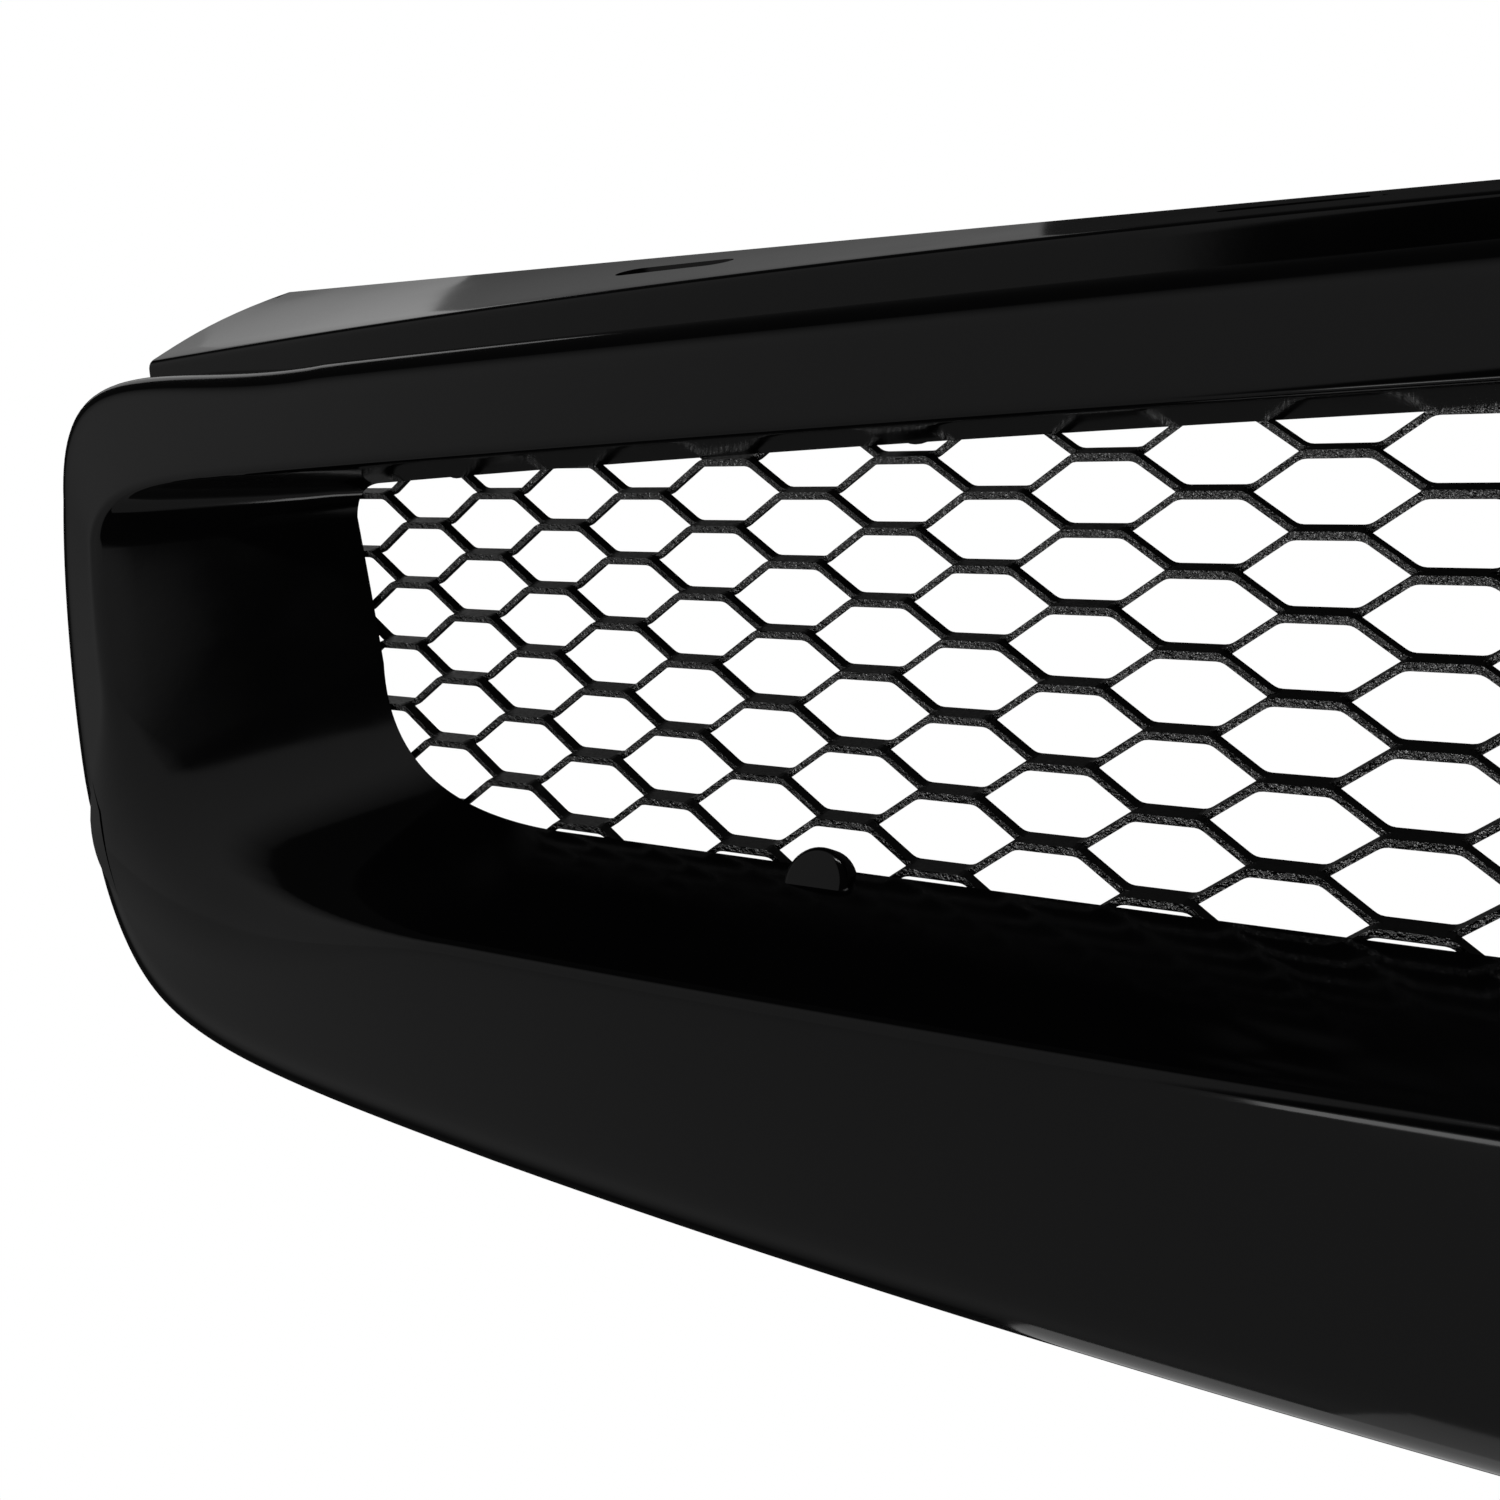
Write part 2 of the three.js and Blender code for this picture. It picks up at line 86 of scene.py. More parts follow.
studio = {
    "floorDrop": 0.16,  # the grille hangs by its flange this far above the floor
    "paperGlow": 1.0,  # floor and backdrop, as the lens sees them: blown out to white
    "tentGlow": 0.2,  # white tent to the front left, which the gloss reflects
    "roomGlow": 0.012,  # dark room behind the grille and to the right of the tent
    # floorGlow and the pool settings below paint a pool of light onto the floor as emission; it shows in
    # the grille's reflections, not in the camera view
    "floorGlow": 0.17,
    "floorSize": 8,
    "poolDepth": (-1.1, -0.4),  # over this depth the right edge of the lit floor moves ...
    "poolEdge": (-0.28, 0.05),  # ... between these places
    "poolFade": 0.1,
    "poolBack": (-0.14, -0.03),
    "tentBearing": (0.36, 0.44),  # sideways over forwards, where the tent begins
    "tentBack": (-0.25, 0.1),
    "lampClear": 0.004,  # the cards lie this far above the floor
}
bpy.context.scene.view_settings.view_transform = "Standard"


def linear(hexColour):
    parts = [int(hexColour[i:i + 2], 16) / 255 for i in (1, 3, 5)]
    return tuple(c / 12.92 if c <= 0.04045 else ((c + 0.055) / 1.055) ** 2.4 for c in parts) + (1,)


def addNode(tree, kind, settings=None, links=None, props=None):
    made = tree.nodes.new(kind)
    for name, value in (props or {}).items():
        setattr(made, name, value)
    for name, value in (settings or {}).items():
        made.inputs[name].default_value = value
    for name, source in (links or {}).items():
        tree.links.new(source, made.inputs[name])
    return made


def newMaterial(name, settings):
    material = bpy.data.materials.new(name)
    material.use_nodes = True
    shader = material.node_tree.nodes["Principled BSDF"]
    for socket, value in settings.items():
        shader.inputs[socket].default_value = value
    return material, material.node_tree, shader


def addFloor():
    bpy.ops.object.select_all(action="DESELECT")
    level = surroundLow.z - studio["floorDrop"]
    bpy.ops.mesh.primitive_plane_add(size=studio["floorSize"], location=(0, 0, level))
    floor = bpy.context.object
    floor.name = "floor"
    bpy.ops.object.transform_apply(location=True)
    material, tree, shader = newMaterial("paperSweep", {
        "Base Color": linear("#000000"),
        "Emission Color": (1, 1, 1, 1),
        "Specular IOR Level": 0.0,
        "Roughness": 1.0,
    })
    where = addNode(tree, "ShaderNodeTexCoord")
    parts = addNode(tree, "ShaderNodeSeparateXYZ", links={"Vector": where.outputs["Object"]})
    # painted light: the floor glows (emission) in a pool that stands in for lit floor and is seen only in
    # reflections; the pool narrows to the left with distance
    edge = addNode(tree, "ShaderNodeMapRange", {
        "From Min": studio["poolDepth"][0], "From Max": studio["poolDepth"][1],
        "To Min": studio["poolEdge"][0], "To Max": studio["poolEdge"][1],
    }, {"Value": parts.outputs["Y"]})
    past = addNode(tree, "ShaderNodeMath", links={0: parts.outputs["X"], 1: edge.outputs["Result"]},
                   props={"operation": "SUBTRACT"})
    pool = addNode(tree, "ShaderNodeMapRange", {
        "From Min": 0.0, "From Max": studio["poolFade"],
        "To Min": studio["floorGlow"], "To Max": studio["roomGlow"],
    }, {"Value": past.outputs["Value"]}, {"interpolation_type": "SMOOTHSTEP"})
    front = addNode(tree, "ShaderNodeMapRange", {
        "From Min": studio["poolBack"][0], "From Max": studio["poolBack"][1], "To Max": studio["roomGlow"],
    }, {
        "Value": parts.outputs["Y"],
        "To Min": pool.outputs["Result"],
    }, {"interpolation_type": "SMOOTHSTEP"})
    path = addNode(tree, "ShaderNodeLightPath")
    glow = addNode(tree, "ShaderNodeMapRange", {"To Max": studio["paperGlow"]}, {
        "Value": path.outputs["Is Camera Ray"],
        "To Min": front.outputs["Result"],
    })
    tree.links.new(glow.outputs["Result"], shader.inputs["Emission Strength"])
    floor.data.materials.append(material)


def addRoom():
    world = bpy.data.worlds.new("studio")
    bpy.context.scene.world = world
    world.use_nodes = True
    tree = world.node_tree
    background = tree.nodes["Background"]
    background.inputs["Color"].default_value = (1, 1, 1, 1)
    where = addNode(tree, "ShaderNodeTexCoord")
    parts = addNode(tree, "ShaderNodeSeparateXYZ", links={"Vector": where.outputs["Generated"]})
    bearing = addNode(tree, "ShaderNodeMath", links={0: parts.outputs["X"], 1: parts.outputs["Y"]},
                      props={"operation": "DIVIDE"})
    leftwards = addNode(tree, "ShaderNodeMapRange", {
        "From Min": studio["tentBearing"][0], "From Max": studio["tentBearing"][1],
        "To Min": studio["roomGlow"], "To Max": studio["tentGlow"],
    }, {"Value": bearing.outputs["Value"]}, {"interpolation_type": "SMOOTHSTEP"})
    room = addNode(tree, "ShaderNodeMapRange", {
        "From Min": studio["tentBack"][0], "From Max": studio["tentBack"][1], "To Max": studio["roomGlow"],
    }, {
        "Value": parts.outputs["Y"],
        "To Min": leftwards.outputs["Result"],
    }, {"interpolation_type": "SMOOTHSTEP"})
    path = addNode(tree, "ShaderNodeLightPath")
    seen = addNode(tree, "ShaderNodeMapRange", {"To Max": studio["paperGlow"]}, {
        "Value": path.outputs["Is Camera Ray"],
        "To Min": room.outputs["Result"],
    })
    tree.links.new(seen.outputs["Result"], background.inputs["Strength"])


def addLamp(name, spot, target, size, power):
    bpy.ops.object.light_add(type="AREA", location=spot)
    lamp = bpy.context.object
    lamp.name = name
    lamp.data.shape = "RECTANGLE"
    lamp.data.size = size[0]
    lamp.data.size_y = size[1]
    lamp.data.energy = power
    lamp.visible_camera = False
    lamp.rotation_euler = (Vector(target) - Vector(spot)).to_track_quat("-Z", "Y").to_euler()
    return lamp


cardHeight = surroundLow.z - studio["floorDrop"] + studio["lampClear"]
# name: place, what it points at, size, power
lamps = {
    "rearLeftSoftbox": ((-1.465, 0.81, 0.51), (-0.3, 0.01, 0.0), (0.6, 0.5), 0.35),
    "rearCard": ((-1.13, 1.1, 0.32), (-0.2, 0.01, 0.0), (0.9, 0.6), 0.2),
    "overheadStrip": ((0.1, -0.1, 1.3), (0, 0, 0), (1.2, 0.1), 3),
    "lowFrontCard": ((-0.16, -0.42, -0.18), (-0.1, 0.0, -0.045), (0.2, 0.1), 0.13),
    "underCard": ((-0.05, -0.01, cardHeight), (-0.05, -0.01, 0), (0.36, 0.16), 0.12),
    "underCardSoft": ((-0.02, -0.14, cardHeight), (-0.02, -0.14, 0), (0.3, 0.1), 0.035),
}

addFloor()
addRoom()
for lampName, lampSettings in lamps.items():
    addLamp(lampName, *lampSettings)
print("camera, floor and light done")

# materials


def glossAbs():
    # injection-moulded ABS under a clear lacquer: deep piano black, sharp reflections and
    # only the faintest moulding waviness in them
    material, tree, shader = newMaterial("glossBlackAbs", {
        "Base Color": linear("#0a0a0b"),
        "IOR": 1.53,
    })
    where = addNode(tree, "ShaderNodeTexCoord")
    wave = addNode(tree, "ShaderNodeTexNoise", {"Scale": 1 / 0.045, "Detail": 1.0},
                   {"Vector": where.outputs["Object"]})
    peel = addNode(tree, "ShaderNodeTexNoise", {"Scale": 1 / 0.0012, "Detail": 2.0},
                   {"Vector": where.outputs["Object"]})
    waveBump = addNode(tree, "ShaderNodeBump", {"Strength": 0.06, "Distance": 0.0008},
                       {"Height": wave.outputs["Fac"]})
    peelBump = addNode(tree, "ShaderNodeBump", {"Strength": 0.05, "Distance": 0.00002},
                       {"Height": peel.outputs["Fac"], "Normal": waveBump.outputs["Normal"]})
    tree.links.new(peelBump.outputs["Normal"], shader.inputs["Normal"])
    dust = addNode(tree, "ShaderNodeTexNoise", {"Scale": 1 / 0.02, "Detail": 6.0},
                   {"Vector": where.outputs["Object"]})
    rough = addNode(tree, "ShaderNodeMapRange", {
        "From Min": 0.35, "From Max": 0.75, "To Min": 0.06, "To Max": 0.15,
    }, {"Value": dust.outputs["Fac"]})
    tree.links.new(rough.outputs["Result"], shader.inputs["Roughness"])
    return material


def coatedMesh():
    # powder-coated aluminium: black, slightly orange-peeled, softer shine than the surround
    material, tree, shader = newMaterial("powderCoatedAluminium", {
        "Base Color": linear("#131313"),
        "IOR": 1.5,
    })
    where = addNode(tree, "ShaderNodeTexCoord")
    grain = addNode(tree, "ShaderNodeTexNoise", {"Scale": 1 / 0.0004, "Detail": 3.0},
                    {"Vector": where.outputs["Object"]})
    bump = addNode(tree, "ShaderNodeBump", {"Strength": 0.25, "Distance": 0.00005},
                   {"Height": grain.outputs["Fac"]})
    rough = addNode(tree, "ShaderNodeMapRange", {
        "From Min": 0.3, "From Max": 0.7, "To Min": 0.32, "To Max": 0.5,
    }, {"Value": grain.outputs["Fac"]})
    tree.links.new(bump.outputs["Normal"], shader.inputs["Normal"])
    tree.links.new(rough.outputs["Result"], shader.inputs["Roughness"])
    return material


def shearedEdge():
    # the torn lower edges of the strands: the coat lies thin over the shear marks and glints
    material, tree, shader = newMaterial("shearedCoatedEdge", {
        "Base Color": linear("#7c7c7c"),
        "Metallic": 1.0,
        "Roughness": 0.2,
    })
    where = addNode(tree, "ShaderNodeTexCoord")
    tear = addNode(tree, "ShaderNodeTexNoise", {"Scale": 1 / 0.0007, "Detail": 2.0, "Roughness": 0.7},
                   {"Vector": where.outputs["Object"]})
    bump = addNode(tree, "ShaderNodeBump", {"Strength": 1.0, "Distance": 0.0004},
                   {"Height": tear.outputs["Fac"]})
    tree.links.new(bump.outputs["Normal"], shader.inputs["Normal"])
    return material


def blackZinc():
    # zinc-plated steel with a black passivate: dark metal with a soft uneven sheen
    material, tree, shader = newMaterial("blackZincSteel", {
        "Base Color": linear("#2a2a2d"),
        "Metallic": 0.9,
        "Roughness": 0.35,
    })
    where = addNode(tree, "ShaderNodeTexCoord")
    cloud = addNode(tree, "ShaderNodeTexNoise", {"Scale": 1 / 0.002, "Detail": 4.0},
                    {"Vector": where.outputs["Object"]})
    rough = addNode(tree, "ShaderNodeMapRange", {
        "From Min": 0.3, "From Max": 0.7, "To Min": 0.28, "To Max": 0.5,
    }, {"Value": cloud.outputs["Fac"]})
    tree.links.new(rough.outputs["Result"], shader.inputs["Roughness"])
    return material


materials = {
    "gloss_abs": glossAbs(),
    "coated_mesh": coatedMesh(),
    "sheared_edge": shearedEdge(),
    "black_zinc_steel": blackZinc(),
}
print("materials done")

# shared outlines: the opening's edge, its front edge and the outer crown

rake = math.radians(25)
bowRadius = 4000

rings = {
    "opening": {
        "topEdge": [(0, 24.9), (-136, 24.4), (-272, 17)],
        "upperCorner": [(-272, 17), (-276.8, 16.8), (-275.4, 12.5)],
        "side": [(-275.4, 12.5), (-269, 2), (-264.2, -6.3)],
        "lowerCorner": [(-264.2, -6.3), (-257.4, -23.6), (-227.2, -23.8)],
        "bottomEdge": [(-227.2, -23.8), (-115, -23.8), (0, -23.8)],
    },
    "front": {
        "topEdge": [(0, 29.5), (-136, 26.9), (-272, 20.5)],
        "upperCorner": [(-272, 20.5), (-296, 19.4), (-313, 19.6), (-311, 11)],
        "side": [(-311, 11), (-306, 0), (-292, -20.5)],
        "lowerCorner": [(-292, -20.5), (-285, -31.3), (-268, -32.2), (-227.2, -31.2)],
        "bottomEdge": [(-227.2, -31.2), (-111.6, -30.6), (0, -27.5)],
    },
    "crown": {
        "topEdge": [(0, 42), (-134, 39.3), (-272, 34.6)],
        "upperCorner": [(-272, 34.6), (-309, 31.5), (-336.2, 41.1), (-325.6, 17.3)],
        "side": [(-325.6, 17.3), (-318.9, -1), (-302.4, -26.6)],
        "lowerCorner": [(-302.4, -26.6), (-293.4, -53.9), (-297.8, -57), (-227.2, -61.8)],
        "bottomEdge": [(-227.2, -61.8), (-130, -67.8), (0, -64)],
    },
}


def onCurve(controls, t):
    points = [Vector((x, z)) for x, z in controls]
    while len(points) > 1:
        points = [a.lerp(b, t) for a, b in zip(points, points[1:])]
    return points[0]


def tangentOn(controls, t):
    step = 1e-4
    return (onCurve(controls, min(t + step, 1)) - onCurve(controls, max(t - step, 0))).normalized()


def wholeRing(ring, stations):
    left = []
    for stretch, count in stations.items():
        left += [onCurve(ring[stretch], i / count) for i in range(count)]
    left.append(onCurve(ring["bottomEdge"], 1))
    right = [Vector((-p.x, p.y)) for p in reversed(left[1:-1])]
    return left + right


def bow(x):
    return x * x / (2 * bowRadius)


def sheetY(x, z):
    return z * math.tan(rake) + bow(x)


def smooth(value, low, high):
    t = min(max((value - low) / (high - low), 0), 1)
    return t * t * (3 - 2 * t)


def mix(a, b, t):
    return a + (b - a) * t


# surround

surroundLook = {
    "wall": 3,
    "revealDepth": 21.5,
    "crownSetback": 2,
    "lipLevel": -30,
    "lipBlend": 8,
    "seatWidth": 12,
    "seatThickness": 2.6,
    "sheetDepth": 3,
    "gap": 0.3,
    "creaseSetback": 8.5,
    "riserThickness": 2.6,
    "returnDepth": 27,
    "returnDraft": 1.2,
    "grooveSink": 1.5,
    "edgeRound": 1.6,
    "cornerRound": 11,
    "crownRound": 4.8,
    "lipRound": 9,
    "topBlend": (26, 33),  # heights over which the side wall turns into the shelf
    "lipBlendZone": (20, 52),
    "cornerDrop": (8, 24),
    "cornerReach": (228, 268),
    "edgeSteps": 8,
    "crownSteps": 10,
    "faceSteps": 8,
    "wallSteps": 4,
    "cornerPull": 0.72,
    "footClear": 1,
    "smoothAngle": math.radians(32),
    "stations": {"topEdge": 56, "upperCorner": 40, "side": 20, "lowerCorner": 44, "bottomEdge": 56},
}


def lippedHeight(z):
    above = z - surroundLook["lipLevel"]
    return surroundLook["lipLevel"] + (above + math.hypot(above, surroundLook["lipBlend"])) / 2


def crownY(x, z):
    depth = surroundLook["revealDepth"] - surroundLook["crownSetback"]
    return bow(x) + lippedHeight(z) * math.tan(rake) - depth


def seatY(x, z):
    return sheetY(x, z) - surroundLook["sheetDepth"] / 2 - surroundLook["gap"]


def offsetCorner(before, corner, after, distance):
    first = (corner - before).normalized()
    second = (after - corner).normalized()
    n1 = Vector((-first.y, first.x))
    n2 = Vector((-second.y, second.x))
    return corner + (n1 + n2) * (distance / (1 + n1.dot(n2)))


def roundedCorner(before, corner, after, reach, steps):
    # a curve from one side of the corner to the other, flatter at its ends than an arc
    start = corner + (before - corner).normalized() * reach
    end = corner + (after - corner).normalized() * reach
    pull = surroundLook["cornerPull"]
    inner = [start, start.lerp(corner, pull), end.lerp(corner, pull), end]
    points = []
    for i in range(steps + 1):
        t = i / steps
        level = inner
        while len(level) > 1:
            level = [a.lerp(b, t) for a, b in zip(level, level[1:])]
        points.append(level[0])
    return points


def between(a, b, steps):
    return [a.lerp(b, i / steps) for i in range(1, steps)]


def surroundSection(opening, front, crown):
    look = surroundLook
    toFront = (front - opening).length
    toCrown = toFront + (crown - front).length
    isTop = smooth(crown.y, *look["topBlend"])
    isLip = smooth(-crown.y, *look["lipBlendZone"])
    isCorner = smooth(-front.y, *look["cornerDrop"]) * smooth(abs(front.x), *look["cornerReach"])

    def outwards(distance):
        if distance <= toFront:
            return opening.lerp(front, distance / toFront)
        return front.lerp(crown, (distance - toFront) / (toCrown - toFront))

    a = Vector((0, seatY(opening.x, opening.y)))
    b = Vector((toFront, sheetY(front.x, front.y) - look["revealDepth"]))
    c = Vector((toCrown, crownY(crown.x, crown.y)))
    shelf = look["creaseSetback"] + look["riserThickness"]
    back = mix(look["returnDepth"], shelf, isTop)
    sink = mix(look["returnDraft"], look["grooveSink"], isTop)
    d = Vector((toCrown - sink, c.y + back))
    crownReach = mix(look["crownRound"], look["lipRound"], isLip)
    edgeReach = mix(look["edgeRound"], look["cornerRound"], isCorner)

    edge = roundedCorner(a, b, c, edgeReach, look["edgeSteps"])
    crownCurve = roundedCorner(b, c, d, crownReach, look["crownSteps"])
    insideD = Vector((d.x - look["wall"], d.y))
    insideC = offsetCorner(b, c, d, look["wall"])
    insideB = offsetCorner(a, b, c, look["wall"])

    def onSeat(distance):
        flat = outwards(distance)
        return Vector((distance, seatY(flat.x, flat.y)))

    rimOuter = onSeat(look["seatWidth"])
    rimFront = Vector((rimOuter.x, rimOuter.y - look["seatThickness"]))
    slope = b - a
    reach = slope.x / -slope.y * look["seatThickness"] + look["wall"] * slope.length / -slope.y
    footX = min(reach, look["seatWidth"] - look["footClear"])
    foot = Vector((footX, onSeat(footX).y - look["seatThickness"]))
    faceSteps = look["faceSteps"]
    points = [a, *between(a, edge[0], faceSteps), *edge, *between(edge[-1], crownCurve[0], faceSteps),
              *crownCurve, *between(crownCurve[-1], d, look["wallSteps"]), d,
              insideD, insideC, insideB, foot, rimFront, rimOuter]
    placed = []
    for p in points:
        flat = outwards(p.x)
        placed.append(place(flat.x, p.y, flat.y))
    return placed


def loftedSkin(name, sections, closed):
    # a grid primitive is the skin; each row of it goes to one cross-section
    rows = len(sections)
    columns = len(sections[0])
    bpy.ops.object.select_all(action="DESELECT")
    bpy.ops.mesh.primitive_grid_add(x_subdivisions=columns, y_subdivisions=rows if closed else rows - 1)
    skin = bpy.context.object
    skin.name = name
    vertices = skin.data.vertices
    for row in range(rows + 1 if closed else rows):
        for column in range(columns + 1):
            point = sections[row % rows][column % columns]
            vertices[row * (columns + 1) + column].co = point
    bpy.ops.object.mode_set(mode="EDIT")
    bpy.ops.mesh.select_all(action="SELECT")
    bpy.ops.mesh.remove_doubles(threshold=1e-6)
    if not closed:
        bpy.ops.mesh.select_all(action="DESELECT")
        bpy.ops.mesh.select_mode(type="EDGE")
        bpy.ops.mesh.select_non_manifold()
        bpy.ops.mesh.edge_face_add()
    bpy.ops.mesh.select_all(action="SELECT")
    bpy.ops.mesh.normals_make_consistent(inside=False)
    bpy.ops.object.mode_set(mode="OBJECT")
    return skin


def crownHeight(x):
    controls = rings["crown"]["topEdge"]
    reach = min(abs(x), -controls[-1][0])
    low, high = 0.0, 1.0
    for _ in range(30):
        middle = (low + high) / 2
        if -onCurve(controls, middle).x < reach:
            low = middle
        else:
            high = middle
    return onCurve(controls, low).y


flangeLook = {
    "thickness": 2.6,
    "drop": 2.2,  # the crease lies this far below the back edge all along
    "endDrop": 10,
    "dropPower": 1.9,
    "creaseRound": 1.3,
    "creaseSteps": 5,
    "flatHalfWidth": 110,
    "halfWidth": 311,
    "endSplay": 8.5,
    "endBulge": 3,  # how late the curved end turns in towards the back corner
    "endSteps": 10,
    "steps": 96,
    "slotLength": 18,
    "slotWidth": 5,
    "slotPlaces": (52, 146, 229),
    "slotSetback": 17,
    "cutDepth": 20,
}


def creaseHeight(x):
    look = flangeLook
    span = look["halfWidth"] + look["endSplay"] - look["flatHalfWidth"]
    outside = max(abs(x) - look["flatHalfWidth"], 0) / span
    return flangeTop - mix(look["drop"], look["endDrop"], outside ** look["dropPower"])


def creaseY(x):
    return crownY(x, crownHeight(x)) + surroundLook["creaseSetback"]


def flangeSection(x):
    look = flangeLook
    splay = x / look["halfWidth"] * look["endSplay"]
    front = creaseY(x)
    crease = creaseHeight(x)
    foot = crownHeight(x) - surroundLook["grooveSink"] - surroundLook["wall"] + surroundLook["gap"]
    inner = front + surroundLook["riserThickness"]
    corner = [Vector((front, foot)), Vector((front, crease)), Vector((flangeBack, flangeTop))]
    turn = roundedCorner(*corner, look["creaseRound"], look["creaseSteps"])
    points = [(splay + x, front, foot)]
    points += [(splay + x, p.x, p.y) for p in turn]
    # the end of the flange curves round in plan, from the crease to the back corner
    part = [i / look["endSteps"] for i in range(1, look["endSteps"] + 1)]
    upper = [(x + splay * (1 - t ** look["endBulge"]), mix(turn[-1].x, flangeBack, t),
              mix(turn[-1].y, flangeTop, t)) for t in part]
    lower = [(px, mix(inner, flangeBack, t), mix(crease, flangeTop, t) - look["thickness"])
             for (px, _, _), t in zip(upper, part)]
    points += upper + lower[::-1]
    points += [(splay + x, inner, crease - look["thickness"]), (splay + x, inner, foot)]
    return [place(*p) for p in points]


def applyBoolean(target, tool, operation):
    change = target.modifiers.new("join", "BOOLEAN")
    change.operation = operation
    change.object = tool
    change.solver = "EXACT"
    bpy.ops.object.select_all(action="DESELECT")
    bpy.context.view_layer.objects.active = target
    target.select_set(True)
    bpy.ops.object.modifier_apply(modifier=change.name)
    bpy.data.objects.remove(tool)


def joined(parts):
    bpy.ops.object.select_all(action="DESELECT")
    for part in parts:
        part.select_set(True)
    bpy.context.view_layer.objects.active = parts[0]
    bpy.ops.object.join()
    return bpy.context.object


def settle(piece):
    bpy.ops.object.select_all(action="DESELECT")
    piece.select_set(True)
    bpy.context.view_layer.objects.active = piece
    bpy.ops.object.transform_apply(location=True, rotation=True, scale=True)


def slotTool(x):
    look = flangeLook
    bpy.ops.object.select_all(action="DESELECT")
    where = place(x, creaseY(x) + look["slotSetback"], flangeTop)
    bpy.ops.mesh.primitive_cylinder_add(vertices=32, radius=look["slotWidth"] / 2 * mm,
                                        depth=look["cutDepth"] * mm, location=where)
    tool = bpy.context.object
    half = (look["slotLength"] - look["slotWidth"]) / 2 * mm
    for vertex in tool.data.vertices:
        vertex.co.x += math.copysign(half, vertex.co.x) if abs(vertex.co.x) > 1e-7 else half
    settle(tool)
    return tool


def sheetFrame(x, z):
    rearwards = Vector((-x / bowRadius, 1, -math.tan(rake))).normalized()
    sideways = Vector((1, x / bowRadius, 0)).normalized()
    upwards = rearwards.cross(sideways)
    turn = Matrix((sideways, upwards, rearwards)).transposed().to_4x4()
    return Matrix.Translation(place(x, sheetY(x, z), z)) @ turn


bossLook = {
    "radius": 3.1,
    "length": 4,
    "upperReach": 4.2,
    "lowerReach": 7.2,
    "pilotRadius": 1.75,
    "pilotDepth": 3.4,
    "pilotPast": 1,
    "segments": 32,
    "pilotSegments": 24,
}
lugLook = {"radius": 4.2, "thickness": 2.6, "dome": 0.9, "reach": 2.6, "position": 0.175, "segments": 48}
quarterTurn = [math.radians(degrees) for degrees in (0, 15, 30, 45, 60, 75, 90)]


def ringPlace(stretch, position, reach):
    controls = rings["opening"][stretch]
    p = onCurve(controls, position)
    along = tangentOn(controls, position)
    return (p.x + along.y * reach, p.y - along.x * reach)


screwSpots = (
    ("topEdge", 0.35, "upperReach"),
    ("topEdge", 0.69, "upperReach"),
    ("topEdge", 0.96, "upperReach"),
    ("bottomEdge", lugLook["position"], "lowerReach"),
    ("bottomEdge", 0.59, "lowerReach"),
)
halfPlaces = [ringPlace(stretch, position, bossLook[reach]) for stretch, position, reach in screwSpots]
bossPlaces = [(-x, z) for x, z in halfPlaces] + halfPlaces


def turnedPiece(name, profile, segments):
    # a profile of (radius, height) points in millimetres, spun round the local Z axis
    bpy.ops.object.select_all(action="DESELECT")
    bpy.ops.mesh.primitive_circle_add(vertices=len(profile))
    piece = bpy.context.object
    piece.name = name
    for vertex, (r, h) in zip(piece.data.vertices, profile):
        vertex.co = Vector((r, 0, h)) * mm
    bpy.ops.object.mode_set(mode="EDIT")
    if profile[0][0] == profile[-1][0] == 0:
        # both ends lie on the axis, so the edge that closes the circle goes
        bpy.ops.mesh.select_all(action="DESELECT")
        mesh = bmesh.from_edit_mesh(piece.data)
        for edge in mesh.edges:
            edge.select = all(v.co.x == 0 for v in edge.verts)
        bmesh.update_edit_mesh(piece.data)
        bpy.ops.mesh.delete(type="EDGE")
    bpy.ops.mesh.select_all(action="SELECT")
    bpy.ops.mesh.spin(steps=segments, angle=2 * math.pi, center=(0, 0, 0), axis=(0, 0, 1))
    bpy.ops.mesh.select_all(action="SELECT")
    bpy.ops.mesh.remove_doubles(threshold=1e-6)
    bpy.ops.mesh.normals_make_consistent(inside=False)
    bpy.ops.object.mode_set(mode="OBJECT")
    return piece


def boss(spot):
    look = bossLook
    rear = -surroundLook["sheetDepth"] / 2 - surroundLook["gap"]
    front = rear - look["length"]
    r = look["radius"]
    piece = turnedPiece("boss", [(0, rear), (r, rear), (r, front), (0, front)], look["segments"])
    piece.data.transform(sheetFrame(*spot))
    return piece


def lug(side):
    look = lugLook
    x, z = ringPlace("bottomEdge", look["position"], look["reach"])
    rear = -surroundLook["sheetDepth"] / 2 - surroundLook["gap"]
    front = rear - look["thickness"]
    r = look["radius"]
    dome = [(r - look["dome"] * (1 - math.cos(a)), front + look["dome"] * (1 - math.sin(a)))
            for a in quarterTurn]
    piece = turnedPiece("lug", [(0, rear), (r, rear)] + dome + [(0, front)], look["segments"])
    piece.data.transform(sheetFrame(side * x, z))
    return piece


def pilot(spot):
    look = bossLook
    rear = -surroundLook["sheetDepth"] / 2 - surroundLook["gap"]
    r = look["pilotRadius"]
    past = rear + look["pilotPast"]
    profile = [(0, past), (r, past), (r, rear - look["pilotDepth"]), (0, rear - look["pilotDepth"])]
    piece = turnedPiece("pilot", profile, look["pilotSegments"])
    piece.data.transform(sheetFrame(*spot))
    return piece


tabLook = {
    "width": 26,
    "length": 13,
    "thickness": 2.4,
    "root": 5,
    "hole": 2.75,
    "corner": 3,
    "cornerSteps": 6,
    "cutDepth": 20,
    "places": (75, 205),
    "earPosition": 0.42,
}


